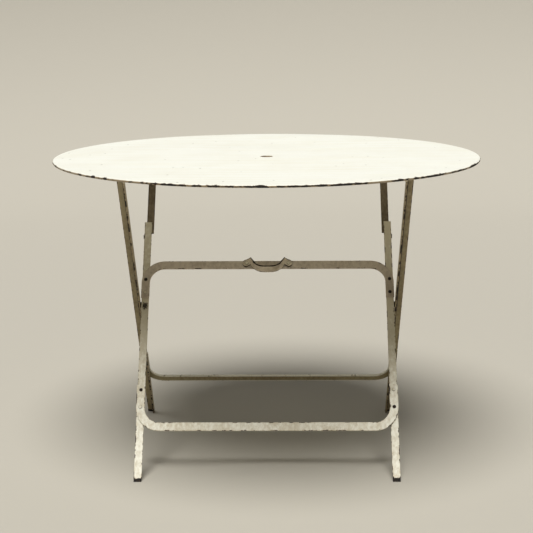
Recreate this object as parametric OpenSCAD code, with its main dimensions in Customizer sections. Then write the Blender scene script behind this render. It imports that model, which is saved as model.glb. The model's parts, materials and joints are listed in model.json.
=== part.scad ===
// Folding garden table: a round sheet-metal top on two crossed iron leg
// frames. The outer frame hinges under the front of the top. The inner frame
// hangs from a pair of jointed links under the back of the top.
// Origin: on the floor, under the centre of the top. +Z up, front is -Y.
// Seen along a leg, "front" is the side that faces the grip of the handle.

/* [Table top] */
// Outside diameter of the round top
top_d = 1000; // [850:10:1250]
// Height of the top surface above the floor
top_h = 720; // [600:5:860]
// Thickness of the top's sheet
sheet_t = 1.2; // [0.8:0.1:2.5]
// Diameter of the wire inside the rolled edge
edge_wire_d = 3.5; // [2:0.5:6]
// Diameter of the umbrella hole
umbrella_d = 27; // [20:1:60]
// Depth of the turned-down lip of the umbrella hole
umbrella_lip = 6; // [3:0.5:12]

/* [Leg frames] */
// Distance from the middle of the table to each top pivot, front and back
pivot_half = 235; // [190:1:290]
// Height at which the two leg frames cross
cross_h = 355; // [300:1:430]
// Outside half width of the inner leg frame
inner_half = 306; // [240:1:370]
// Gap between the webs of the inner and the outer legs
leg_gap = 3; // [2.5:0.1:6]
// Width of each side of the leg angle iron
leg_w = 18; // [17:0.5:24]
// Thickness of the leg angle iron
leg_t = 3; // [2:0.5:4]
// How far the inner leg reaches past the knee, over the link
knee_overlap = 36; // [20:1:60]
// How far the inner legs stand forward of the pivot line
inner_shift = 1; // [0.8:0.1:2]

/* [Links] */
// Width of the link's front flange
link_flange = 18; // [12:0.5:22]
// Depth of the link's web
link_web = 13; // [12:0.5:13.4]
// Thickness of the link
link_t = 3; // [2:0.5:3]
// Gap between the webs of the link and the inner leg
link_gap = 2; // [1.8:0.1:4]
// Gap between the flanges of the link and the inner leg
nest_fit = 0.5; // [0.3:0.1:0.7]

/* [Stretchers] */
// Width of the flat bar
bar_w = 20; // [14:1:26]
// Thickness of the flat bar
bar_t = 5; // [3:0.5:5.5]
// Inner radius of the bends
bend_r = 36; // [20:1:60]
// Upper stretcher above the crossing, along the leg
upper_s = 99; // [90:1:125]
// Length of the upper stretcher's ends below its middle line
upper_end = 85; // [80:1:88]
// Lower stretcher below the crossing, along the leg
lower_s = 308; // [200:1:340]
// Rear stretcher below the crossing, along the leg
rear_s = 298; // [200:1:340]
// Length of the lower and rear stretchers' ends above their middle line
lower_end = 102; // [95:1:140]

/* [Handle] */
// Width of the handle strip
grip_w = 20; // [14:1:26]
// Thickness of the handle strip
grip_t = 3; // [2:0.5:4]
// Half length of the bowed part
grip_half = 41; // [36:1:70]
// Depth of the bow
grip_depth = 30; // [25:1:45]
// Length of each flat ear of the handle
grip_ear = 20; // [18:1:32]
// Height of the bow's ends above the middle line of the stretcher
grip_rise = 9; // [0:0.5:10]
// Height of the ears' round ends above that line
grip_tip = 3; // [0:0.5:5]
// Angle by which the bow droops from the face of the stretcher
grip_droop = 62; // [40:1:70]

/* [Brackets under the top] */
// Width of each flat bearer
bearer_w = 36; // [32:1:60]
// Thickness of each bearer and each ear
plate_t = 3; // [2:0.5:4]
// Length of a bearer past the pivots, at each end
bearer_past = 32; // [24:1:60]
// Depth of the top pivots below the top surface
pivot_drop = 22; // [21.5:0.5:30]
// Length of an ear's foot along the bearer
ear_foot = 44; // [36:1:60]
// Width of an ear's foot across the bearer
ear_across = 24; // [20:1:30]

/* [Rivets and pins] */
// Shank diameter of the front pivot pins and the crossing rivets
pin_d = 8; // [6:0.5:8]
// Shank diameter of the rear pivot pins and the knee pins
small_pin_d = 6; // [5:0.5:7]
// Head diameter of the pins
pin_head_d = 11; // [9:0.5:11.5]
// Shank diameter of the stretcher, handle and ear rivets
rivet_d = 5; // [4:0.5:6]
// Head diameter of those rivets
rivet_head_d = 8.5; // [7:0.5:10]
// Head height of those rivets
rivet_head_h = 1.8; // [1:0.1:2.2]
// Radial running clearance of a pin in a turning hole
pin_fit = 0.05; // [0.02:0.01:0.1]
// Radial clearance of a rivet in its hole
rivet_fit = 0.1; // [0.05:0.05:0.2]
// Air between the flat faces of neighbours that move
side_fit = 0.3; // [0.2:0.05:0.4]

/* [Hidden] */
$fn = 96;
left = -1;
right = 1;

// heights under the top
top_r = top_d / 2;
sheet_z = top_h - sheet_t;          // underside of the sheet
bearer_z = sheet_z - plate_t;       // underside of a bearer
foot_z = bearer_z - plate_t;        // underside of an ear's foot
pivot_z = top_h - pivot_drop;       // all four top pivots
wire_fit = 0.05;
roll_in = edge_wire_d / 2 + wire_fit;
roll_out = roll_in + sheet_t;

// the linkage: the open table stands with the link in line with the leg, and
// it folds flat because the link is as long as the pivots are from the middle
arm_rise = pivot_z - cross_h;
leg_arm = sqrt(pivot_half * pivot_half + arm_rise * arm_rise);
leg_tilt = atan2(pivot_half, arm_rise);
link_len = pivot_half;
knee_s = leg_arm - link_len;
leg_down = cross_h / cos(leg_tilt) + leg_w;

// the side stack, from the outside in
inner_web = inner_half - leg_t;
outer_web = inner_half + leg_gap;
link_out = inner_web - link_gap;
link_in = link_out - link_t;
front_tab = outer_web - side_fit - plate_t;
rear_tab = link_in - side_fit - plate_t;
inner_flange_mid = inner_half - leg_w / 2;
outer_flange_mid = outer_web + leg_w / 2;
inner_front = leg_w / 2 + inner_shift;
link_front = leg_t + nest_fit - inner_front;   // behind the inner leg's flange
outer_back = leg_w / 2;
bearer_in = front_tab + plate_t - bearer_w;

// rounding and clearances of the pivot ends
head_clear = 1.5;
link_notch = pin_head_d / 2 + head_clear;
link_notch_top = link_notch + 2;
tab_rise = 1;                       // straight part of an ear above its tip
gusset_gap = 4;
gusset_w = 15;
flat_head_h = 1.2;
knee_air = 0.8;                     // from the knee pin's head to the outer leg
pin_head_h = 2.5;
spacer_r = 7;
washer_r = link_web / 2;

// rivets in the ends of the stretchers, from the middle line of the bar
end_inset = 13;
end_pitch = 42;
upper_pitch = 34;
grip_rivet = grip_half + grip_ear - grip_w / 2;
ear_pitch = 28;

iron_dark = [0.33, 0.29, 0.22];
iron_light = [0.76, 0.73, 0.63];
cream = [0.95, 0.95, 0.90];
steel = [0.22, 0.20, 0.18];

// ---- helpers ----

module on_side(side) {
  mirror([side < 0 ? 1 : 0, 0, 0]) children();
}

module both_sides() {
  on_side(left) children();
  on_side(right) children();
}

// drawn upright around the crossing, then leant into a leg's line
module lean(angle) {
  translate([0, 0, cross_h]) rotate([angle, 0, 0]) children();
}

// a disc or hole across the legs, at height s along the leg
module across(x, s, r, h) {
  translate([x, 0, s]) rotate([0, 90, 0]) cylinder(r = r, h = h);
}

// a disc or hole through a front or back face, from y towards +Y
module through(x, y, s, r, h) {
  translate([x, y, s]) rotate([-90, 0, 0]) cylinder(r = r, h = h);
}

module below_floor() {
  deep = 4 * leg_w;
  translate([-top_r, -top_r, -deep]) cube([top_d, top_d, deep]);
}

// ---- top ----

module tabletop_sheet() {
  edge_r = top_r - roll_out;
  hole_r = umbrella_d / 2;
  color(cream) rotate_extrude($fn = 180) difference() {
    union() {
      translate([hole_r, sheet_z]) square([edge_r - hole_r, sheet_t]);
      translate([hole_r, top_h - umbrella_lip]) square([sheet_t, umbrella_lip]);
      translate([edge_r, top_h - roll_out]) circle(r = roll_out, $fn = 48);
    }
    translate([edge_r, top_h - roll_out]) circle(r = roll_in, $fn = 48);
  }
}

module rim_wire() {
  color(steel) rotate_extrude($fn = 180)
    translate([top_r - roll_out, top_h - roll_out])
      circle(d = edge_wire_d, $fn = 48);
}

module bearer(side) {
  half = pivot_half + bearer_past;
  color(iron_dark) on_side(side) difference() {
    translate([bearer_in, -half, bearer_z]) cube([bearer_w, 2 * half, plate_t]);
    ear_rivet_row() cylinder(r = rivet_d / 2 + rivet_fit, h = 4 * plate_t);
  }
}

// the places of the ear rivets on the right side, front and back
module ear_rivet_row() {
  for (x_end = [[front_tab, -1], [rear_tab, 1]], step = [-1, 1])
    translate([x_end[0] + plate_t - ear_across / 2 - plate_t / 2,
               x_end[1] * pivot_half + step * ear_pitch / 2, foot_z - plate_t])
      children();
}

module ear_rivets() {
  low = plate_t - rivet_head_h;
  color(steel) both_sides() ear_rivet_row() {
    translate([0, 0, low]) cylinder(d = rivet_head_d, h = rivet_head_h);
    translate([0, 0, low]) cylinder(d = rivet_d, h = 2 * plate_t + rivet_head_h);
  }
}

// an ear: a foot under the bearer and a tab that holds the pivot. The tab
// stays as narrow as its tip until it is clear of what turns there.
module ear_plates(tab_x, y, tip_r) {
  wide_z = pivot_z + tip_r + tab_rise;
  translate([tab_x + plate_t - ear_across, y - ear_foot / 2, foot_z])
    cube([ear_across, ear_foot, plate_t]);
  translate([tab_x, y, 0]) rotate([90, 0, 90]) linear_extrude(plate_t) union() {
    translate([0, pivot_z]) circle(r = tip_r);
    polygon([[-tip_r, pivot_z], [tip_r, pivot_z], [tip_r, wide_z],
             [ear_foot / 2, foot_z], [-ear_foot / 2, foot_z], [-tip_r, wide_z]]);
  }
}

module ear_holes(tab_x, y, hole_r) {
  translate([0, y, pivot_z]) across(tab_x - plate_t, 0, hole_r, 3 * plate_t);
  ear_rivet_row() cylinder(r = rivet_d / 2 + rivet_fit, h = 4 * plate_t);
}

// the front ear also has a tapered flange that closes the front of the pivot
module front_ear(side) {
  tip_r = leg_w / 2;
  low = pivot_z - tip_r;
  gusset_y = -pivot_half - tip_r - gusset_gap - plate_t;
  out = plate_t + gusset_w;
  color(iron_light) on_side(side) difference() {
    union() {
      ear_plates(front_tab, -pivot_half, tip_r);
      translate([front_tab, gusset_y + plate_t, 0]) rotate([90, 0, 0])
        linear_extrude(plate_t)
          polygon([[0, bearer_z], [0, low], [plate_t, low], [out, foot_z], [out, bearer_z]]);
      translate([front_tab, gusset_y, low])
        cube([plate_t, -pivot_half - gusset_y, bearer_z - low]);
    }
    ear_holes(front_tab, -pivot_half, pin_d / 2 + rivet_fit);
  }
}

module rear_ear(side) {
  color(iron_dark) on_side(side) difference() {
    ear_plates(rear_tab, pivot_half, link_web / 2);
    ear_holes(rear_tab, pivot_half, small_pin_d / 2 + rivet_fit);
  }
}

// shank through ear and leg, a head inside the ear and one outside the leg
module front_pivot_pins() {
  head_in = front_tab - pin_head_h;
  head_out = outer_web + leg_t + side_fit;
  color(steel) both_sides() translate([0, -pivot_half, pivot_z]) {
    across(head_in, 0, pin_head_d / 2, pin_head_h);
    across(head_in, 0, pin_d / 2, head_out + pin_head_h - head_in);
    across(head_out, 0, pin_head_d / 2, pin_head_h);
  }
}

module rear_pivot_pins() {
  head_in = rear_tab - pin_head_h;
  head_out = link_out + side_fit;
  color(steel) both_sides() translate([0, pivot_half, pivot_z]) {
    across(head_in, 0, pin_head_d / 2, pin_head_h);
    across(head_in, 0, small_pin_d / 2, head_out + flat_head_h - head_in);
    across(head_out, 0, pin_head_d / 2, flat_head_h);
  }
}

// ---- stretchers ----

// outline of a flat bar bent to a U: half is the middle line of its ends,
// which reach up by end_len, with the middle line of the bar on the X axis
module u_outline(half, end_len) {
  mid_r = bend_r + bar_w / 2;
  out_r = bend_r + bar_w;
  translate([-half + mid_r, -bar_w / 2]) square([2 * (half - mid_r), bar_w]);
  for (side = [left, right]) {
    translate([side * half - bar_w / 2, mid_r]) square([bar_w, end_len - mid_r]);
    translate([side * (half - mid_r), mid_r]) difference() {
      intersection() {
        circle(r = out_r);
        translate([side > 0 ? 0 : -out_r, -out_r]) square(out_r);
      }
      circle(r = bend_r);
    }
  }
}

// heights of the two rivets in a stretcher's end, for its middle line at s,
// with the ends reaching up (dir = 1) or down (dir = -1)
function end_rivets(s, end_len, pitch, dir) =
  [s + dir * (end_len - end_inset), s + dir * (end_len - end_inset - pitch)];

upper_rivet_s = end_rivets(upper_s, upper_end, upper_pitch, -1);
lower_rivet_s = end_rivets(-lower_s, lower_end, end_pitch, 1);
rear_rivet_s = end_rivets(-rear_s, lower_end, end_pitch, 1);

// cuts or rivets at the two ends of a stretcher
module end_holes(x, y, heights, h) {
  for (side = [left, right], s = heights)
    through(side * x, y, s, rivet_d / 2 + rivet_fit, h);
}

module upper_stretcher() {
  front = inner_front + bar_t;
  color(iron_dark) lean(-leg_tilt) difference() {
    translate([0, -inner_front, upper_s]) rotate([90, 0, 0])
      linear_extrude(bar_t) mirror([0, 1]) u_outline(inner_flange_mid, upper_end);
    end_holes(inner_flange_mid, -front, upper_rivet_s, bar_t);
    for (side = [left, right])
      through(side * grip_rivet, -front, upper_s + grip_tip, rivet_d / 2 + rivet_fit, bar_t);
  }
}

module lower_stretcher() {
  color(iron_light) lean(-leg_tilt) difference() {
    translate([0, -inner_front, -lower_s]) rotate([90, 0, 0])
      linear_extrude(bar_t) u_outline(inner_flange_mid, lower_end);
    end_holes(inner_flange_mid, -inner_front - bar_t, lower_rivet_s, bar_t);
  }
}

module rear_stretcher() {
  color(iron_dark) lean(leg_tilt) difference() {
    translate([0, outer_back + bar_t, -rear_s]) rotate([90, 0, 0])
      linear_extrude(bar_t) u_outline(outer_flange_mid, lower_end);
    end_holes(outer_flange_mid, outer_back, rear_rivet_s, bar_t);
  }
}

// head on the front face at y, shank flush with the far side
module front_rivet(x, y, s, depth) {
  through(x, y - rivet_head_h, s, rivet_head_d / 2, rivet_head_h);
  through(x, y - rivet_head_h, s, rivet_d / 2, rivet_head_h + depth);
}

module inner_end_rivets(heights) {
  for (side = [left, right], s = heights)
    front_rivet(side * inner_flange_mid, -inner_front - bar_t, s, bar_t + leg_t);
}

module upper_stretcher_rivets() {
  color(steel) lean(-leg_tilt) inner_end_rivets(upper_rivet_s);
}

module lower_stretcher_rivets() {
  color(steel) lean(-leg_tilt) inner_end_rivets(lower_rivet_s);
}

module rear_stretcher_rivets() {
  color(steel) lean(leg_tilt)
    for (side = [left, right], s = rear_rivet_s)
      front_rivet(side * outer_flange_mid, outer_back - leg_t, s, leg_t + bar_t);
}

// ---- legs ----

// web on the inside, flange at the back
module outer_leg(side) {
  low = -leg_down;
  color(iron_light) on_side(side) difference() {
    lean(leg_tilt) difference() {
      union() {
        translate([outer_web, -leg_w / 2, low])
          cube([leg_t, leg_w, leg_arm - low]);
        across(outer_web, leg_arm, leg_w / 2, leg_t);
        translate([outer_web, outer_back - leg_t, low])
          cube([leg_w, leg_t, leg_arm - low]);
      }
      across(outer_web - leg_t, leg_arm, pin_d / 2 + pin_fit, 3 * leg_t);
      across(outer_web - leg_t, 0, pin_d / 2 + rivet_fit, 3 * leg_t);
      end_holes(outer_flange_mid, outer_back - leg_t, rear_rivet_s, leg_t);
    }
    below_floor();
  }
}

// web on the outside, flange at the front
module inner_leg(side) {
  low = -leg_down;
  tall = knee_s + knee_overlap - low;
  color(iron_light) on_side(side) difference() {
    lean(-leg_tilt) difference() {
      union() {
        translate([inner_web, -inner_front, low]) cube([leg_t, leg_w, tall]);
        translate([inner_half - leg_w, -inner_front, low]) cube([leg_w, leg_t, tall]);
      }
      across(inner_web - leg_t, knee_s, small_pin_d / 2 + pin_fit, 3 * leg_t);
      across(inner_web - leg_t, 0, pin_d / 2 + rivet_fit, 3 * leg_t);
      end_holes(inner_flange_mid, -inner_front, upper_rivet_s, leg_t);
      end_holes(inner_flange_mid, -inner_front, lower_rivet_s, leg_t);
    }
    below_floor();
  }
}

module crossing_rivets() {
  shank_end = inner_half + side_fit;
  color(steel) lean(leg_tilt) both_sides() {
    across(shank_end, 0, pin_d / 2, outer_web + leg_t + pin_head_h - shank_end);
    across(outer_web + leg_t, 0, pin_head_d / 2, pin_head_h);
  }
}

module crossing_spacers() {
  low = inner_half + side_fit;
  color(steel) lean(leg_tilt) both_sides() difference() {
    across(low, 0, spacer_r, outer_web - low);
    across(low - leg_t, 0, pin_d / 2 + rivet_fit, 3 * leg_t);
  }
}

module crossing_rivet_ends() {
  color(steel) lean(-leg_tilt) both_sides() {
    across(inner_web - flat_head_h, 0, pin_head_d / 2, flat_head_h);
    across(inner_web - flat_head_h, 0, pin_d / 2, leg_t + flat_head_h);
  }
}

// ---- links ----

module link(side) {
  half = link_web / 2;
  flange_low = knee_s + link_notch;
  flange_high = leg_arm - link_notch_top;
  color(iron_dark) on_side(side) lean(-leg_tilt) difference() {
    union() {
      translate([link_in, -half, knee_s]) cube([link_t, link_web, link_len]);
      across(link_in, knee_s, half, link_t);
      across(link_in, leg_arm, half, link_t);
      translate([link_out - link_flange, link_front, flange_low])
        cube([link_flange, link_t, flange_high - flange_low]);
    }
    across(link_in - link_t, knee_s, small_pin_d / 2 + rivet_fit, 3 * link_t);
    across(link_in - link_t, leg_arm, small_pin_d / 2 + pin_fit, 3 * link_t);
  }
}

module knee_pins() {
  head_in = link_in - pin_head_h;
  head_out = inner_half + side_fit;
  thin = leg_gap - side_fit - knee_air;
  color(steel) lean(-leg_tilt) both_sides() {
    across(head_in, knee_s, pin_head_d / 2, pin_head_h);
    across(head_in, knee_s, small_pin_d / 2, head_out + thin - head_in);
    across(head_out, knee_s, pin_head_d / 2, thin);
  }
}

module knee_washers() {
  color(steel) lean(-leg_tilt) both_sides() difference() {
    across(link_out, knee_s, washer_r, link_gap - side_fit);
    across(link_out - link_t, knee_s, small_pin_d / 2 + rivet_fit, 3 * link_t);
  }
}

// ---- handle ----

// the strip's middle line and twist at v = -1 to 1 across the bow, with the
// face of the stretcher as y = 0 and its middle line as z = 0
bow_power = 3.4;
twist_share = 0.3;
function ease(t) = t <= 0 ? 0 : t >= 1 ? 1 : t * t * (3 - 2 * t);
function bow(v) = grip_depth * (1 - pow(abs(v), bow_power));
function bow_point(v) =
  [grip_half * v, -grip_t / 2 - bow(v) * cos(grip_droop),
   grip_rise - bow(v) * sin(grip_droop)];
function bow_twist(v) = grip_droop * ease((1 - abs(v)) / twist_share);
function unit(a) = a / norm(a);
function bow_tangent(v) = abs(v) > 0.999 ? [1, 0, 0] :
  unit(bow_point(v + 0.001) - bow_point(v - 0.001));
// the four corners of the strip's cross-section at v
function bow_corners(v) =
  let (c = bow_point(v), a = bow_twist(v), wide = [0, -sin(a), cos(a)] * grip_w / 2,
       thick = unit(cross(bow_tangent(v), wide)) * grip_t / 2)
  [c - wide - thick, c + wide - thick, c + wide + thick, c - wide + thick];

module bow_strip() {
  steps = 40;
  rings = [for (i = [0:steps]) bow_corners(-1 + 2 * i / steps)];
  pts = [for (ring = rings, p = ring) p];
  last = 4 * steps;
  sides = [for (i = [0:steps - 1], k = [0:3])
    [4 * i + k, 4 * i + (k + 1) % 4, 4 * i + 4 + (k + 1) % 4, 4 * i + 4 + k]];
  tris = [for (f = sides, h = [0, 1])
    h == 0 ? [f[0], f[2], f[1]] : [f[0], f[3], f[2]]];
  ends = [[0, 1, 2], [0, 2, 3], [last, last + 2, last + 1], [last, last + 3, last + 2]];
  polyhedron(points = pts, faces = concat(tris, ends));
}

// an ear runs down from the bow's end to its round end
module grip_ear_outline() {
  half = grip_w / 2;
  polygon([[grip_half, grip_rise - half], [grip_rivet, grip_tip - half],
           [grip_rivet, grip_tip + half], [grip_half, grip_rise + half]]);
  translate([grip_rivet, grip_tip]) circle(r = half);
}

module handle() {
  color(iron_dark) lean(-leg_tilt) translate([0, -inner_front - bar_t, upper_s])
    difference() {
      union() {
        bow_strip();
        both_sides() rotate([90, 0, 0]) linear_extrude(grip_t) grip_ear_outline();
      }
      for (side = [left, right])
        through(side * grip_rivet, -2 * grip_t, grip_tip, rivet_d / 2 + rivet_fit, 3 * grip_t);
    }
}

module handle_rivets() {
  color(steel) lean(-leg_tilt)
    for (side = [left, right])
      front_rivet(side * grip_rivet, -inner_front - bar_t - grip_t, upper_s + grip_tip,
                  grip_t + bar_t);
}

tabletop_sheet();
rim_wire();
bearer(left);  // bearer_left
bearer(right);  // bearer_right
front_ear(left);  // front_ear_left
front_ear(right);  // front_ear_right
rear_ear(left);  // rear_ear_left
rear_ear(right);  // rear_ear_right
ear_rivets();
front_pivot_pins();
rear_pivot_pins();
outer_leg(left);  // outer_leg_left
outer_leg(right);  // outer_leg_right
rear_stretcher();
rear_stretcher_rivets();
crossing_rivets();
crossing_spacers();
link(left);  // link_left
link(right);  // link_right
knee_pins();
knee_washers();
inner_leg(left);  // inner_leg_left
inner_leg(right);  // inner_leg_right
crossing_rivet_ends();
upper_stretcher();
upper_stretcher_rivets();
lower_stretcher();
lower_stretcher_rivets();
handle();
handle_rivets();
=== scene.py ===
import json
import math

import bmesh
import bpy
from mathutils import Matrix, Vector, noise


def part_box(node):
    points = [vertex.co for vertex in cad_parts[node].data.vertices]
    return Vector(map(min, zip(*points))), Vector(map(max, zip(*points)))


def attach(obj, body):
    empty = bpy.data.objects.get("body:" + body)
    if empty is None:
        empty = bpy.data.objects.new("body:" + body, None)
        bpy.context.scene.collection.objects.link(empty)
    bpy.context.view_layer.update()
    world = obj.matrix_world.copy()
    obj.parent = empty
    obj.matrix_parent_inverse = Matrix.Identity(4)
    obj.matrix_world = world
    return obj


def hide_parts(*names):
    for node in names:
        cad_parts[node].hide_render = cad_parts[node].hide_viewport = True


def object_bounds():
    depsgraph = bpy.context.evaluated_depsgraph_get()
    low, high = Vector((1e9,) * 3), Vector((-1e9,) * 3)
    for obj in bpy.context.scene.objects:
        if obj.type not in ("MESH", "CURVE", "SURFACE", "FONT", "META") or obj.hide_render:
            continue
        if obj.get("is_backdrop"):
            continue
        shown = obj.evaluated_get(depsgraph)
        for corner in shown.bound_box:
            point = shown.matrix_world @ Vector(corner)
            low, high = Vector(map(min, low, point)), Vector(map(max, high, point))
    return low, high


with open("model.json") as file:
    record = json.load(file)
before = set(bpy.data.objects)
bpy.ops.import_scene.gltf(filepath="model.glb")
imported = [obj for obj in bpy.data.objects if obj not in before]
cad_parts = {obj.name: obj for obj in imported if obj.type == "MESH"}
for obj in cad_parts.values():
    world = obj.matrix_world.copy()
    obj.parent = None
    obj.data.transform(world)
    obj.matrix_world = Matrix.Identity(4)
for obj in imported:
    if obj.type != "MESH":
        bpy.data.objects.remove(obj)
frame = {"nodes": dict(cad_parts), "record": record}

cad_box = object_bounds()

# ---- measures, in metres, in the frame of the CAD model ----

joints = {j["name"]: j for j in frame["record"]["behaviour"]["joints"]}
front_pivot = Vector(joints["leg_fold"]["pos_m"])
back_pivot = Vector(joints["link_fold"]["pos_m"])
knee = Vector(joints["knee_fold"]["pos_m"])
high_corner = cad_box[1]
top_z = high_corner.z
top_r = max(high_corner.x, high_corner.y)

# the inner leg's line runs from the knee to the back pivot; the frames cross
# in the middle of the table
inner_up = (back_pivot - knee).normalized()
crossing = knee - inner_up * (knee.y / inner_up.y)
outer_up = (front_pivot - crossing).normalized()


def leg_line(up):
    """A leg's own axes: where the frames cross, up the leg, and out of its front."""
    return crossing, up, Vector((0, -up.z, up.y))


INNER = leg_line(inner_up)
OUTER = leg_line(outer_up)
ARM = (front_pivot - crossing).length
KNEE_S = (knee - crossing).length

LEG_W = 0.018
LEG_T = 0.003
INNER_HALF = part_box("inner_leg_right")[1][0]
OUTER_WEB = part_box("outer_leg_right")[0][0]
LINK_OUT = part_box("link_right")[1][0]
INNER_FRONT = 0.010
LINK_FLANGE = 0.018
LINK_WEB = 0.013
LINK_T = 0.003
LINK_FLANGE_LOW = KNEE_S + 0.007
LINK_FLANGE_HIGH = ARM - 0.009
KNEE_OVERLAP = 0.036
BAR_W = 0.020
BAR_T = 0.005
BEND_R = 0.036
UPPER_S = 0.099
UPPER_END = 0.085
LOWER_S = -0.308
REAR_S = -0.298
LOWER_END = 0.102
END_INSET = 0.013
END_PITCH = 0.042
UPPER_PITCH = 0.034
RIVET_R = 0.00425
RIVET_H = 0.0018
GRIP_W = 0.020
GRIP_T = 0.003
GRIP_HALF = 0.041
GRIP_DEPTH = 0.030
GRIP_EAR = 0.020
GRIP_RISE = 0.009
GRIP_TIP = 0.003
GRIP_RIVET = GRIP_HALF + GRIP_EAR - GRIP_W / 2
GRIP_DROOP = math.radians(62)
BOW_POWER = 3.4
TWIST_SHARE = 0.3
SHEET_T = 0.0012
ROLL_R = 0.003
HOLE_R = 0.0135
HOLE_LIP = 0.006
BEARER_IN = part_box("bearer_right")[0][0]
INNER_MID = INNER_HALF - LEG_W / 2
OUTER_MID = OUTER_WEB + LEG_W / 2
BAR_FACE = INNER_FRONT + BAR_T

# ---- wear, as the "edge" attribute carries it to the paint: above 0 the paint
# ---- is rubbed off, below 0 it goes dark, as painted shade and dirt ----

WORN_FOOT = 2.6
FOOT_BARE = 0.010
FOOT_FADE = 0.006
CROSSING_HALF = 0.012
BARE_HEAD = 3
PAINTED_HEAD = 0.3
DIRTY_RING = -1.5
# how far the wear of an outer corner, and the painted shade and dirt of an inner one, reach over the
# flats beside it, and their share
FADE = ((0.0008, 0.6), (0.002, 0.25), (0.004, 0))


def at(line, x, n, s):
    """A point at x, n in front of a leg's pivot line and s above the crossing."""
    origin, up, front = line
    return origin + Vector((x, 0, 0)) + front * n + up * s


# ---- camera, floor and light ----


def make_camera():
    data = bpy.data.cameras.new("camera")
    data.sensor_width = 36
    data.lens = 83.7
    camera = bpy.data.objects.new("camera", data)
    camera.location = (0.0483, -2.926, 1.0696)
    pitch, yaw, roll = math.radians(11.96), math.radians(0.98), math.radians(-0.41)
    camera.rotation_euler = (math.pi / 2 - pitch, 0, yaw)
    camera.rotation_euler.rotate_axis("Z", roll)
    bpy.context.collection.objects.link(camera)
    bpy.context.scene.camera = camera


def make_studio():
    """A pale floor that turns up into a round wall, far outside the table."""
    flat_r, bend, rise, around = 3.4, 2.2, 14, 96
    profile = [(0.6, 0), (flat_r, 0)]
    for k in range(1, rise + 1):
        a = math.pi / 2 * k / rise
        profile.append((flat_r + bend * math.sin(a), bend * (1 - math.cos(a))))
    points = [(0, 0, 0)]
    for r, z in profile:
        points += [
            (r * math.cos(math.tau * k / around), r * math.sin(math.tau * k / around), z)
            for k in range(around)
        ]
    faces = [(0, 1 + k, 1 + (k + 1) % around) for k in range(around)]
    for row in range(len(profile) - 1):
        a, b = 1 + row * around, 1 + (row + 1) * around
        faces += [
            (a + k, b + k, b + (k + 1) % around, a + (k + 1) % around) for k in range(around)
        ]
    mesh = bpy.data.meshes.new("studio_floor")
    mesh.from_pydata(points, [], faces)
    mesh.shade_smooth()
    floor = bpy.data.objects.new("studio_floor", mesh)
    bpy.context.collection.objects.link(floor)
    material = bpy.data.materials.new("studio_floor")
    material.use_nodes = True
    shader = material.node_tree.nodes["Principled BSDF"]
    shader.inputs["Base Color"].default_value = (0.44, 0.415, 0.36, 1)
    shader.inputs["Roughness"].default_value = 0.9
    mesh.materials.append(material)
    floor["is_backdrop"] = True


def make_light():
    """One broad soft light from above and in front, a little to the left, a weak
    one from behind, as a pale wall gives, and a weak even light from all round."""
    world = bpy.data.worlds.new("world")
    world.use_nodes = True
    sky = world.node_tree.nodes["Background"]
    sky.inputs["Color"].default_value = (0.95, 0.97, 1, 1)
    sky.inputs["Strength"].default_value = 0.078
    bpy.context.scene.world = world
    for name, energy, spread, direction in (
        ("key", 3.95, 36, (0.06, 0.34, -0.93)),
        ("wall_bounce", 0.3, 60, (0.0, -0.86, -0.5)),
    ):
        data = bpy.data.lights.new(name, "SUN")
        data.energy = energy
        data.angle = math.radians(spread)
        data.color = (1, 0.99, 0.96)
        lamp = bpy.data.objects.new(name, data)
        lamp.rotation_euler = Vector(direction).to_track_quat("-Z", "Y").to_euler()
        bpy.context.collection.objects.link(lamp)
    bpy.context.scene.view_settings.view_transform = "Standard"


# ---- meshes ----


def skin(name, rings, edge, wrap=False, rust=None):
    """A skin over rings of points, closed into a loop or with caps at its ends.
    edge is the wear at each point of a ring, below 0 painted shade and dirt, or one list for each
    ring."""
    count, size = len(rings), len(rings[0])
    points = [p for ring in rings for p in ring]
    faces = []
    for i in range(count if wrap else count - 1):
        a, b = i * size, (i + 1) % count * size
        for k in range(size):
            j = (k + 1) % size
            faces.append((a + k, a + j, b + j, b + k))
    if not wrap:
        faces.append(tuple(reversed(range(size))))
        faces.append(tuple(range((count - 1) * size, count * size)))
    mesh = bpy.data.meshes.new(name)
    mesh.from_pydata(points, [], faces)
    per_ring = edge if isinstance(edge[0], (list, tuple)) else [edge] * count
    paint_attribute(mesh, "edge", [w for ring in per_ring for w in ring])
    paint_attribute(mesh, "rust", rust or [0] * len(points))
    return finish_mesh(name, mesh)


def paint_attribute(mesh, name, values):
    layer = mesh.attributes.new(name, "FLOAT", "POINT")
    layer.data.foreach_set("value", [float(v) for v in values])


def outward(mesh):
    """Turns the faces out."""
    work = bmesh.new()
    work.from_mesh(mesh)
    bmesh.ops.recalc_face_normals(work, faces=work.faces)
    work.to_mesh(mesh)
    work.free()


def finish_mesh(name, mesh, sharp=40):
    outward(mesh)
    mesh.shade_smooth()
    mesh.set_sharp_from_angle(angle=math.radians(sharp))
    piece = bpy.data.objects.new(name, mesh)
    bpy.context.collection.objects.link(piece)
    return piece


def soften(piece, width):
    bevel = piece.modifiers.new("soften", "BEVEL")
    bevel.width = width
    bevel.segments = 2
    bevel.limit_method = "ANGLE"
    bevel.angle_limit = math.radians(50)


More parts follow.
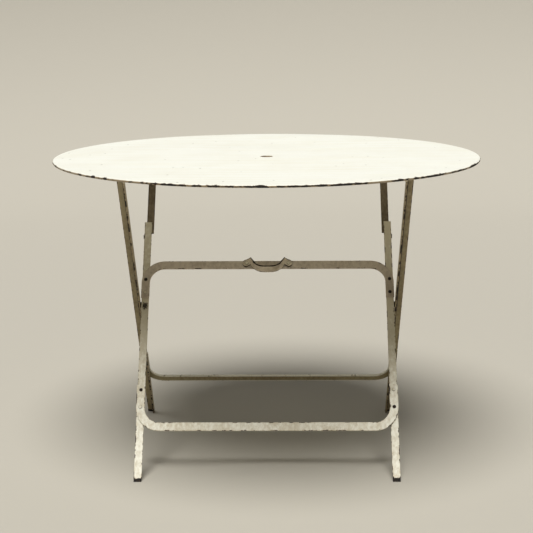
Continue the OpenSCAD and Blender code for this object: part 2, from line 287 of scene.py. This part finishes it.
def rounded(corners, arc_steps=3):
    """An outline of square corners (x, y, radius) as points, with how worn each
    point is: 1 on a rounded outer corner and -1 in an inner corner, where the paint
    is darkened as painted shade with some dirt, fading over the flats."""
    count = len(corners)
    outline, wear = [], []
    area = sum(
        corners[i - 1][0] * corners[i][1] - corners[i][0] * corners[i - 1][1]
        for i in range(count)
    )
    arcs = []
    for i in range(count):
        v = Vector(corners[i][:2])
        back = (Vector(corners[i - 1][:2]) - v).normalized()
        on = (Vector(corners[(i + 1) % count][:2]) - v).normalized()
        turn = -back.x * on.y + back.y * on.x
        outer = turn * area > 0
        r = corners[i][2]
        centre = v + (back + on) * r
        arc = []
        for k in range(arc_steps + 1):
            a = math.pi / 2 * k / arc_steps
            arc.append(centre - (on * math.cos(a) + back * math.sin(a)) * r)
        arcs.append((arc, 1.0 if outer else -1.0))
    for i in range(count):
        arc, worn = arcs[i]
        following, next_worn = arcs[(i + 1) % count]
        outline += arc
        wear += [worn] * len(arc)
        flat = following[0] - arc[-1]
        length = flat.length
        steps = [step for step in FADE if step[0] < length * 0.45]
        marks = [(d, worn * f) for d, f in steps]
        marks += [(length - d, next_worn * f) for d, f in reversed(steps)]
        for d, w in marks:
            outline.append(arc[-1] + flat * (d / length))
            wear.append(w)
    return outline, wear


def angle_outline(flange, web, t):
    """An angle iron: x from the web's back face, y from the flange's outer face."""
    heel, toe, tip, root = 0.0012, 0.0011, 0.0005, 0.0022
    return rounded([
        (0, 0, heel), (flange, 0, tip), (flange, t, toe),
        (t, t, root), (t, web, toe), (0, web, tip),
    ])


def bar_outline(width, thick, r):
    w, h = width / 2, thick / 2
    return rounded([(-w, -h, r), (w, -h, r), (w, h, r), (-w, h, r)])


def steps_between(low, high, pace=0.006):
    count = max(1, round((high - low) / pace))
    return [low + (high - low) * i / count for i in range(count + 1)]


def wobble(p, amount=0.00012, pace=38):
    """The slight unevenness of old rolled iron and thick paint."""
    q = p * pace
    return Vector([noise.noise(q + Vector((apart, 0, 0))) for apart in (0, 31.4, 57.8)]) * amount


def angle_bar(name, line, place, outline, s_values, limit=None, foot=False, crossing_dark=0.0):
    """place(x, y) turns a point of the outline into (x, n) on the leg. limit(s)
    gives the farthest x and the range of y that the bar still has at s. The last
    argument is how much darker the flange's outer face is made near the crossing."""
    points, wear = outline
    rings, edge = [], []
    for s in s_values:
        far, low, high = limit(s) if limit else (1, -1, 1)
        ring = []
        for p in points:
            x, n = place(min(p.x, far), min(max(p.y, low), high))
            spot = at(line, x, n, s)
            ring.append(spot + wobble(spot))
        rings.append(ring)
    if foot:
        up = line[1]
        rings[0] = [p - up * (p.z / up.z) for p in rings[0]]
        rings = [rings[0]] + [r for r in rings[1:] if min(p.z for p in r) > 0.0008]
    for ring in rings:
        # A darker patch on the flange's outer face, near the crossing.
        near = max(0, 1 - ((ring[0].z - crossing.z) / CROSSING_HALF) ** 2)
        worn = WORN_FOOT * ease((FOOT_BARE - ring[0].z) / FOOT_FADE)
        edge.append([w + worn - crossing_dark * near * (p.y < 0.0004) for p, w in zip(points, wear)])
    piece = skin(name, rings, edge)
    soften(piece, 0.0003)
    return piece


def ease(t):
    t = min(max(t, 0), 1)
    return t * t * (3 - 2 * t)


# ---- the top ----


def sag(x, y):
    """How far the old sheet hangs below its plane: it dips between the bearers
    and at the back edge, and is never quite flat."""
    across, along = min(1, abs(x) / BEARER_IN), y / top_r
    dip = 0.0032 * (1 - across**2) ** 2 * max(0, 1 - along**2)
    back = 0.0009 * max(0, along) ** 4
    wave = 0.5 + 0.5 * noise.noise(Vector((x * 3.1 + 7, y * 3.1, 0.3)))
    ripple = 0.5 + 0.5 * noise.noise(Vector((x * 9 + 2, y * 9, 4.1)))
    return dip + back + 0.0006 * wave + 0.00025 * ripple


# bare places on the rim: where, counted from +X towards the back, how far
# each reaches to either side, both in degrees, and how bare it is
RIM_CHIPS = [
    (-90.5, 1.1, 1.0), (-136, 0.7, 0.8), (-131, 0.5, 0.7), (-56, 1.0, 0.6),
    (-51, 0.7, 0.8), (-44, 0.6, 0.6), (-33, 1.4, 0.6), (-22, 3.5, 0.9),
    (-9, 1.0, 0.8), (-112, 0.5, 0.5), (-70, 0.6, 0.5), (38, 1, 0.6),
    (84, 1, 0.6), (122, 1.6, 0.7), (157, 1, 0.6), (200, 1, 0.6),
]


def rim_wear(angle):
    """How much paint the rim has lost, by the angle round the top."""
    along = Vector((math.cos(angle) * 4, math.sin(angle) * 4, 1.7))
    rough = noise.noise(along * 2.3) * 0.5 + noise.noise(along * 9) * 0.35
    worn = 0.45 + 0.7 * rough
    for place, half, depth in RIM_CHIPS:
        away = abs(math.remainder(angle - math.radians(place), math.tau))
        worn += depth * max(0, 1 - (away / math.radians(half)) ** 2)
    return max(0, min(1.6, worn))


def make_top():
    edge_r = top_r - ROLL_R
    z = top_z
    lip = z - HOLE_LIP
    # each point of the profile: radius, height, wear, rust and painted shade
    profile = [
        (HOLE_R, lip, 0.1, 1), (HOLE_R, (lip + z) / 2, 0.1, 1), (HOLE_R, z - 0.0015, 0.2, 1),
    ]
    bend = 0.0012
    inner = HOLE_R + bend
    for k in range(4):
        a = math.pi - math.pi / 2 * k / 3
        profile.append((inner + bend * math.cos(a), z - bend + bend * math.sin(a), 0.4, 1 - k * 0.15))
    profile += [(inner + 0.001, z, 0.5, 0.4), (inner + 0.003, z, 0.2, 0.15)]
    radial = [inner + 0.008 + (edge_r - 0.020 - inner) * k / 34 for k in range(35)]
    profile += [(r, z, 0, 0) for r in radial]
    profile += [
        (edge_r - 0.008, z, 0.03, 0), (edge_r - 0.0045, z, 0.2, 0), (edge_r - 0.0015, z, 0.4, 0),
    ]
    turns = 18
    end = math.radians(-217)
    for k in range(turns + 1):
        a = math.pi / 2 + (end - math.pi / 2) * k / turns
        worn = 0.45 + 0.55 * max(0.0, math.cos(a - 0.2))
        # The bead's lower half goes brown: rust, with painted shade under the rolled rim.
        stain_and_shade = ease((math.radians(56) - a) / math.radians(40))
        across, up = ROLL_R * math.cos(a), ROLL_R * math.sin(a)
        profile.append((edge_r + across, z - ROLL_R + up, worn, stain_and_shade))
    profile += [(r, z - SHEET_T, 0, 0) for r in reversed(radial[:-1])]
    outer_lip = HOLE_R + SHEET_T
    profile += [
        (outer_lip + 0.002, z - SHEET_T, 0.2, 0.3), (outer_lip, z - SHEET_T - 0.001, 0.3, 0.6),
        (outer_lip, lip, 0.6, 1),
    ]
    around = 480
    rings, edge, rust = [], [], []
    for k in range(around):
        a = math.tau * k / around
        c, s = math.cos(a), math.sin(a)
        worn = rim_wear(a)
        ring, wear = [], []
        for r, height, w, brown in profile:
            x, y = r * c, r * s
            ring.append(Vector((x, y, height - sag(x, y))))
            wear.append(w * worn if r > 0.3 else w)
            rust.append(brown)
        rings.append(ring)
        edge.append(wear)
    top = skin("tabletop", rings, edge, wrap=True, rust=rust)
    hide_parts("tabletop_sheet")
    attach(top, "tabletop")
    return top


# ---- legs and links ----


def inner_place(side):
    return lambda x, y: (side * (INNER_HALF - x), INNER_FRONT - y)


def outer_place(side):
    return lambda x, y: (side * (OUTER_WEB + x), y - LEG_W / 2)


def link_place(side):
    return lambda x, y: (side * (LINK_OUT - x), LINK_WEB / 2 - y)


def outer_limit(s):
    """Above the pivot only the web goes on, as a round end."""
    if s <= ARM:
        return LEG_W, 0, LEG_W
    half = math.sqrt(max((LEG_W / 2) ** 2 - (s - ARM) ** 2, 1e-8))
    return LEG_T, LEG_W / 2 - half, LEG_W / 2 + half


def link_limit(s):
    """The flange stops short of both pivots and the web ends round."""
    middle = LINK_WEB / 2
    past = max(KNEE_S - s, s - ARM, 0)
    half = math.sqrt(max(middle**2 - past**2, 1e-8))
    if LINK_FLANGE_LOW <= s <= LINK_FLANGE_HIGH:
        return LINK_FLANGE, 0, LINK_WEB
    return LINK_T, middle - half, middle + half


def round_end(centre, reach, sign):
    """Heights that close a round end, farther and farther from its centre."""
    return [centre + sign * reach * math.sin(math.radians(a)) for a in (20, 40, 60, 75, 84, 89)]


def make_legs():
    foot = -crossing.z / inner_up.z
    full = angle_outline(LEG_W, LEG_W, LEG_T)
    thin = angle_outline(LINK_FLANGE, LINK_WEB, LINK_T)
    tiny = 0.00002
    for side, word in ((-1, "left"), (1, "right")):
        low = foot - LEG_W
        ankle = foot + LEG_W
        shin = steps_between(low, ankle, 0.0015)
        inner = angle_bar(
            "inner_leg_" + word + "_iron", INNER, inner_place(side), full,
            shin + steps_between(ankle, KNEE_S + KNEE_OVERLAP)[1:],
            foot=True, crossing_dark=0.8 if side < 0 else 0.2,
        )
        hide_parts("inner_leg_" + word)
        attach(inner, "inner_frame")
        outer_s = shin + steps_between(ankle, ARM)[1:]
        outer_s += [ARM + tiny] + round_end(ARM, LEG_W / 2, 1)
        outer = angle_bar(
            "outer_leg_" + word + "_iron", OUTER, outer_place(side), full,
            outer_s, outer_limit, foot=True,
        )
        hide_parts("outer_leg_" + word)
        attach(outer, "outer_frame")
        link_s = list(reversed(round_end(KNEE_S, LINK_WEB / 2, -1)))
        link_s += [KNEE_S, LINK_FLANGE_LOW - tiny]
        link_s += steps_between(LINK_FLANGE_LOW, LINK_FLANGE_HIGH)
        link_s += [LINK_FLANGE_HIGH + tiny, ARM] + round_end(ARM, LINK_WEB / 2, 1)
        link = angle_bar(
            "link_" + word + "_iron", INNER, link_place(side), thin, link_s, link_limit,
        )
        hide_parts("link_" + word)
        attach(link, "links")
        for piece in (inner, outer, link):
            yield piece


# ---- stretchers ----


def u_path(half, end_len):
    """The middle line of a U: (x, s, direction across the bar) from the left
    end round to the right end, with s = 0 on the long side."""
    mid_r = BEND_R + BAR_W / 2
    start = []
    for s in reversed(steps_between(mid_r, end_len)):
        start.append((-half, s, (-1, 0)))
    for k in range(1, 15):
        a = math.pi / 2 * k / 15
        c, d = math.cos(a), math.sin(a)
        start.append((-half + mid_r - mid_r * c, mid_r - mid_r * d, (-c, -d)))
    middle = [(x, 0, (0, -1)) for x in steps_between(-half + mid_r, half - mid_r)]
    return start + middle + [(-x, s, (-d[0], d[1])) for x, s, d in reversed(start)]


def stretcher(name, node, body, line, half, end_len, s0, n0, direction):
    """A U-bent flat bar with its long side at s0 and its middle at n0. Its ends
    run up the legs where direction is 1 and down where it is -1."""
    points, wear = bar_outline(BAR_W, BAR_T, 0.0009)
    rings = []
    for x, s, across in u_path(half, end_len):
        ring = []
        for p in points:
            spot = at(line, x + across[0] * p.x, n0 + p.y, s0 + direction * (s + across[1] * p.x))
            ring.append(spot + wobble(spot, 0.00018))
        rings.append(ring)
    piece = skin(name, rings, wear)
    soften(piece, 0.0005)
    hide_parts(node)
    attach(piece, body)
    return piece


# ---- the handle ----


def bow_station(x):
    """Where the strip runs at x: in front of the stretcher's face, above its
    middle line, and how far the strip has twisted. The ears run down a little
    to their round ends."""
    v = min(abs(x) / GRIP_HALF, 1)
    reach = GRIP_DEPTH * (1 - v**BOW_POWER)
    twist = GRIP_DROOP * ease((1 - v) / TWIST_SHARE)
    down = min(max((abs(x) - GRIP_HALF) / (GRIP_RIVET - GRIP_HALF), 0), 1)
    rise = GRIP_RISE + (GRIP_TIP - GRIP_RISE) * down
    return (
        GRIP_T / 2 + reach * math.cos(GRIP_DROOP),
        rise - reach * math.sin(GRIP_DROOP),
        twist,
    )


def make_handle():
    points, wear = bar_outline(GRIP_W, GRIP_T, 0.0011)
    ends = steps_between(GRIP_HALF, GRIP_RIVET, 0.003) + round_end(GRIP_RIVET, GRIP_W / 2, 1)
    bow = [GRIP_HALF * math.sin(math.pi / 2 * k / 34) for k in range(-34, 35)]
    xs = [-x for x in reversed(ends)] + bow[1:-1] + ends
    rings = []
    small = 0.0004
    for x in xs:
        n, s, twist = bow_station(x)
        n1, s1, _ = bow_station(x - small)
        n2, s2, _ = bow_station(x + small)
        flat = abs(x) >= GRIP_HALF
        past = max(abs(x) - GRIP_RIVET, 0) / (GRIP_W / 2)
        narrow = math.sqrt(max(1 - past**2, 0))
        along = Vector((1, 0, 0)) if flat else Vector((2 * small, n2 - n1, s2 - s1)).normalized()
        wide = Vector((0, math.sin(twist), math.cos(twist)))
        thick = along.cross(wide).normalized()
        ring = []
        for p in points:
            local = Vector((x, n, s)) + wide * p.x * narrow + thick * p.y
            ring.append(at(INNER, local.x, BAR_FACE + local.y, UPPER_S + local.z))
        rings.append(ring)
    handle = skin("hand_grip", rings, wear)
    soften(handle, 0.0004)
    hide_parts("handle")
    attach(handle, "inner_frame")
    return handle


# ---- rivets ----


def domes(name, node, body, places, shank, painted=()):
    """Low round heads on shanks of that length behind the face. places holds
    (point on the face, outward direction); painted numbers the heads that still
    have their paint, the others are bare."""
    points, faces, edge = [], [], []
    around, rows = 28, 5
    for number, (centre, out) in enumerate(places):
        side_a = out.orthogonal().normalized()
        side_b = out.cross(side_a)
        lean = 1 + 0.08 * noise.noise(centre * 90)
        base = len(points)
        neck = RIVET_R * 0.6
        sections = [(neck, -shank), (neck, -0.0001), (RIVET_R, -0.0001)]
        bare = number not in painted
        for k in range(rows):
            a = math.pi / 2 * k / rows
            wide, high = 0.97 * math.cos(a) ** 0.8, 0.25 + 0.75 * math.sin(a)
            sections.append((RIVET_R * wide * lean, RIVET_H * high))
        for radius, up in sections:
            for k in range(around):
                a = math.tau * k / around
                p = centre + out * up + (side_a * math.cos(a) + side_b * math.sin(a)) * radius
                points.append(p + wobble(p, 0.00015, 300))
                ring = radius > 0.9 * RIVET_R
                edge.append(BARE_HEAD if bare else DIRTY_RING if ring else PAINTED_HEAD)
        points.append(centre + out * RIVET_H)
        edge.append(BARE_HEAD if bare else PAINTED_HEAD)
        for i in range(len(sections) - 1):
            for k in range(around):
                j = (k + 1) % around
                a, b = base + i * around, base + (i + 1) * around
                faces.append((a + k, a + j, b + j, b + k))
        last = base + (len(sections) - 1) * around
        for k in range(around):
            faces.append((last + k, last + (k + 1) % around, base + len(sections) * around))
        faces.append(tuple(reversed(range(base, base + around))))
    mesh = bpy.data.meshes.new(name)
    mesh.from_pydata(points, [], faces)
    paint_attribute(mesh, "edge", edge)
    paint_attribute(mesh, "rust", [0] * len(points))
    piece = finish_mesh(name, mesh, 60)
    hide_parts(node)
    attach(piece, body)
    return piece


def end_heights(s0, end_len, pitch, direction):
    first = s0 + direction * (end_len - END_INSET)
    return [first, first - direction * pitch]


def make_rivets():
    def row(line, x, n, heights):
        return [(at(line, side * x, n, s), line[2]) for side in (-1, 1) for s in heights]

    upper = row(INNER, INNER_MID, BAR_FACE, end_heights(UPPER_S, UPPER_END, UPPER_PITCH, -1))
    lower = row(INNER, INNER_MID, BAR_FACE, end_heights(LOWER_S, LOWER_END, END_PITCH, 1))
    rear_face = LEG_T - LEG_W / 2
    rear = row(OUTER, OUTER_MID, rear_face, end_heights(REAR_S, LOWER_END, END_PITCH, 1))
    grip = row(INNER, GRIP_RIVET, BAR_FACE + GRIP_T, [UPPER_S + GRIP_TIP])
    for name, node, body, places, shank, painted in (
        ("upper_rivets", "upper_stretcher_rivets", "inner_frame", upper, BAR_T + LEG_T, (0,)),
        ("lower_rivets", "lower_stretcher_rivets", "inner_frame", lower, BAR_T + LEG_T, (1, 2)),
        ("rear_rivets", "rear_stretcher_rivets", "outer_frame", rear, BAR_T + LEG_T, ()),
        ("grip_rivets", "handle_rivets", "inner_frame", grip, BAR_T + GRIP_T, (0, 1)),
    ):
        yield domes(name, node, body, places, shank, painted)


# ---- materials ----


class Graph:
    """A short way to write a material's nodes."""

    def __init__(self, name):
        self.material = bpy.data.materials.new(name)
        self.material.use_nodes = True
        self.tree = self.material.node_tree
        self.shader = self.tree.nodes["Principled BSDF"]

    def add(self, kind, settings=None, **inputs):
        made = self.tree.nodes.new("ShaderNode" + kind)
        for key, value in (settings or {}).items():
            setattr(made, key, value)
        for key, value in inputs.items():
            numbered = key[0] == "i" and key[1:].isdigit()
            self.put(made.inputs[int(key[1:]) if numbered else key], value)
        return made

    def put(self, socket, value):
        if isinstance(value, bpy.types.NodeSocket):
            self.tree.links.new(value, socket)
        else:
            socket.default_value = value

    def math(self, operation, a, b=0.0, clamp=False):
        return self.add("Math", {"operation": operation, "use_clamp": clamp}, i0=a, i1=b).outputs[0]

    def noise(self, where, scale, detail=3.0, rough=0.55, twist=0.0):
        made = self.add(
            "TexNoise", Vector=where, Scale=scale, Detail=detail, Roughness=rough, Distortion=twist
        )
        return made.outputs["Fac"]

    def stretched(self, where, factors):
        return self.add("Mapping", Vector=where, Scale=factors).outputs[0]

    def step(self, value, low, high, start=0.0, stop=1.0):
        settings = {"clamp": True, "interpolation_type": "SMOOTHSTEP"}
        made = self.add("MapRange", settings, i0=value, i1=low, i2=high, i3=start, i4=stop)
        return made.outputs[0]

    def blend(self, amount, a, b):
        made = self.add("Mix", {"data_type": "RGBA"}, i0=amount, i6=a, i7=b)
        return made.outputs[2]

    def attribute(self, name):
        return self.add("Attribute", {"attribute_name": name}).outputs["Fac"]


def rgb(r, g, b):
    return (r, g, b, 1.0)


def paint_material(
    name, fresh, aged, wear, chips, gloss, brush=(150.0, 150.0, 50.0), upper_shade_and_yellowing=0.0, edge_highlight=0.0, pits=0.0
):
    """Old oil paint on iron: brush marks, yellowing, chips down to rusty metal
    that come first along the edges, and near-black painted shade with some dirt
    in inner corners. wear is how far edges lose paint, chips how much the faces
    do, gloss the least roughness, brush how fine the brush marks are along each
    axis. Two more settings paint the frame darker towards its top, painted shade
    from the tabletop with some yellowing, and paler along edges, a painted
    highlight; pits is how thickly small rust spots are strewn over it."""
    g = Graph(name)
    where = g.add("TexCoord").outputs["Object"]
    edge, rust = g.attribute("edge"), g.attribute("rust")

    strokes = g.noise(g.stretched(where, brush), 1.0, 4.0, 0.6)
    patches = g.noise(where, 7.0, 5.0, 0.65)
    specks = g.noise(where, 420.0, 2.0, 0.6)
    grain = g.noise(where, 62.0, 6.0, 0.66, 0.5)
    nicks = g.noise(where, 260.0, 3.0, 0.6)

    age_and_shade = g.math("ADD", g.math("MULTIPLY", strokes, 0.5), g.math("MULTIPLY", patches, 0.5))
    # Darker towards the top of the frame: painted shade from the tabletop, with some yellowing.
    if upper_shade_and_yellowing:
        height = g.add("SeparateXYZ", Vector=where).outputs["Z"]
        age_and_shade = g.math("ADD", age_and_shade, g.step(height, 0.08, 0.42, 0.0, upper_shade_and_yellowing))
    paint = g.blend(g.step(age_and_shade, 0.38, 0.66), fresh, aged)
    paint = g.blend(g.step(specks, 0.62, 0.76, 0, 0.3), paint, rgb(0.35, 0.29, 0.18))

    # Paler paint along the edges: a painted highlight.
    if edge_highlight:
        paint = g.blend(g.step(edge, 0.1, 0.7, 0, edge_highlight), paint, rgb(0.95, 0.93, 0.82))

    if pits:
        spots = g.add("TexVoronoi", Vector=where, Scale=pits).outputs["Distance"]
        paint = g.blend(g.step(spots, 0.045, 0.06, 0.8, 0), paint, rgb(0.075, 0.05, 0.03))

    # Where the edge attribute is below 0 the paint goes near black: painted shade with some dirt in
    # inner corners, a darker patch at the crossing, dirt round painted rivet heads, and dirt in random
    # nicks.
    dirt_and_shade = g.math("MULTIPLY", edge, -1.0, clamp=True)
    dirt_and_shade = g.math("ADD", dirt_and_shade, g.math("MULTIPLY", g.math("SUBTRACT", nicks, 0.5), 1.2))
    paint = g.blend(g.step(dirt_and_shade, 0.25, 0.75), paint, rgb(0.030, 0.023, 0.014))

    loss = g.math("ADD", grain, g.math("MULTIPLY", g.math("MAXIMUM", edge, 0.0), wear))
    loss = g.math("ADD", loss, g.math("MULTIPLY", g.math("SUBTRACT", nicks, 0.5), 0.25))
    loss = g.math("ADD", loss, g.math("MULTIPLY", rust, 0.16))
    bare = g.step(loss, 0.80 - chips, 0.815 - chips)
    stain = g.step(loss, 0.71 - chips, 0.81 - chips, 0, 0.6)
    # The brown film: rust, and painted shade on the lower half of the rim bead.
    film = g.math("ADD", rust, g.math("MULTIPLY", g.math("SUBTRACT", grain, 0.5), 1.5))
    film = g.step(film, 0.25, 0.8, 0, 0.85)

    iron = g.blend(g.step(nicks, 0.48, 0.66), rgb(0.010, 0.009, 0.008), rgb(0.050, 0.026, 0.014))
    colour = g.blend(film, paint, rgb(0.25, 0.17, 0.080))
    colour = g.blend(stain, colour, rgb(0.40, 0.29, 0.17))
    colour = g.blend(bare, colour, iron)
    g.put(g.shader.inputs["Base Color"], colour)

    dull = g.step(strokes, 0.3, 0.7, gloss, gloss + 0.16)
    rough = g.add("Mix", {"data_type": "FLOAT"}, i0=bare, i2=dull, i3=0.85).outputs[0]
    g.put(g.shader.inputs["Roughness"], rough)

    height = g.math("ADD", g.math("MULTIPLY", strokes, 0.45), g.math("MULTIPLY", specks, 0.12))
    height = g.math("SUBTRACT", height, bare)
    bump = g.add("Bump", Strength=0.55, Distance=0.00035, Height=height)
    g.put(g.shader.inputs["Normal"], bump.outputs[0])
    g.put(g.shader.inputs["Specular IOR Level"], 0.35)
    return g.material


def iron_material():
    """Oxidised iron with traces of the cream paint."""
    g = Graph("bare_iron")
    where = g.add("TexCoord").outputs["Object"]
    cloud = g.noise(where, 130.0, 5.0, 0.7)
    scale = g.noise(where, 600.0, 3.0, 0.6)
    colour = g.blend(g.step(cloud, 0.42, 0.62), rgb(0.022, 0.019, 0.017), rgb(0.085, 0.04, 0.02))
    traces = g.step(g.noise(where, 260.0, 4.0, 0.65), 0.66, 0.70)
    colour = g.blend(traces, colour, rgb(0.62, 0.56, 0.42))
    g.put(g.shader.inputs["Base Color"], colour)
    g.put(g.shader.inputs["Roughness"], g.step(cloud, 0.35, 0.7, 0.55, 0.85))
    g.put(g.shader.inputs["Metallic"], 0.35)
    height = g.math("ADD", g.math("MULTIPLY", cloud, 0.6), g.math("MULTIPLY", scale, 0.4))
    bump = g.add("Bump", Strength=0.5, Distance=0.0003, Height=height)
    g.put(g.shader.inputs["Normal"], bump.outputs[0])
    return g.material


def dress(piece, material):
    piece.data.materials.clear()
    piece.data.materials.append(material)


def dress_node(node, material):
    """A CAD node keeps its shape and gets a material, welded and softened."""
    piece = frame["nodes"][node]
    for slot in piece.material_slots:
        slot.material = material
    weld = piece.modifiers.new("weld", "WELD")
    weld.merge_threshold = 0.00001
    soften(piece, 0.0004)


make_camera()
make_studio()
make_light()

top_paint = paint_material(
    "top_enamel", rgb(0.87, 0.875, 0.80), rgb(0.82, 0.81, 0.71),
    wear=0.36, chips=0.0, gloss=0.32, brush=(2.5, 60.0, 40.0), pits=22.0,
)
frame_paint = paint_material(
    "frame_enamel", rgb(0.88, 0.86, 0.75), rgb(0.62, 0.56, 0.42),
    wear=0.235, chips=0.02, gloss=0.40, upper_shade_and_yellowing=0.15,
)
# The cream paint made dark olive: painted shade on the outer legs, bearers and rear ears under the
# tabletop.
outer_shaded_paint = paint_material(
    "outer_frame_enamel", rgb(0.37, 0.31, 0.185), rgb(0.24, 0.19, 0.105),
    wear=0.27, chips=0.03, gloss=0.45,
)
# The cream paint made dark olive as painted shade on the rear bar, with a painted highlight along its
# edges.
rear_shaded_paint = paint_material(
    "rear_bar_enamel", rgb(0.38, 0.32, 0.19), rgb(0.25, 0.20, 0.11),
    wear=0.16, chips=0.02, gloss=0.45, edge_highlight=0.9,
)
# The links' own darker, rustier paint, made darker still as painted shade under the tabletop.
link_dark_shaded_paint = paint_material(
    "link_enamel", rgb(0.21, 0.165, 0.11), rgb(0.11, 0.085, 0.05),
    wear=0.30, chips=0.04, gloss=0.5,
)
# The cream paint made pinkish brown: painted shade from the tabletop on the upper bar.
upper_bar_shaded_paint = paint_material(
    "upper_bar_enamel", rgb(0.60, 0.52, 0.42), rgb(0.40, 0.33, 0.255),
    wear=0.19, chips=0.03, gloss=0.42,
)
# The cream paint made brown on the hand grip: painted shade from the tabletop.
grip_shaded_paint = paint_material(
    "grip_enamel", rgb(0.68, 0.59, 0.46), rgb(0.26, 0.205, 0.13),
    wear=0.42, chips=0.04, gloss=0.42, brush=(40.0, 40.0, 40.0),
)
bare_iron = iron_material()

dress(make_top(), top_paint)
PAINTS = {"inner": frame_paint, "outer": outer_shaded_paint, "link": link_dark_shaded_paint}
for leg in make_legs():
    dress(leg, PAINTS[leg.name.split("_")[0]])
BAR_PAINTS = {"upper_bar": upper_bar_shaded_paint, "lower_bar": frame_paint, "rear_bar": rear_shaded_paint}
front_n = INNER_FRONT + BAR_T / 2
back_n = -LEG_W / 2 - BAR_T / 2
for node, body, line, half, end_len, s0, n0, direction in (
    ("upper_stretcher", "inner_frame", INNER, INNER_MID, UPPER_END, UPPER_S, front_n, -1),
    ("lower_stretcher", "inner_frame", INNER, INNER_MID, LOWER_END, LOWER_S, front_n, 1),
    ("rear_stretcher", "outer_frame", OUTER, OUTER_MID, LOWER_END, REAR_S, back_n, 1),
):
    name = node.split("_")[0] + "_bar"
    bar = stretcher(name, node, body, line, half, end_len, s0, n0, direction)
    dress(bar, BAR_PAINTS[name])
dress(make_handle(), grip_shaded_paint)
for heads in make_rivets():
    dress(heads, frame_paint)
for plate in ("bearer", "front_ear", "rear_ear"):
    for word in ("left", "right"):
        dress_node(plate + "_" + word, frame_paint if plate == "front_ear" else outer_shaded_paint)
for node in (
    "ear_rivets", "front_pivot_pins", "rear_pivot_pins", "crossing_rivets", "crossing_spacers",
    "crossing_rivet_ends", "knee_pins", "knee_washers", "rim_wire",
):
    dress_node(node, bare_iron)

boxes = {"cad": cad_box, "visual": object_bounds()}
{k: [list(corner) for corner in box] for k, box in boxes.items()}
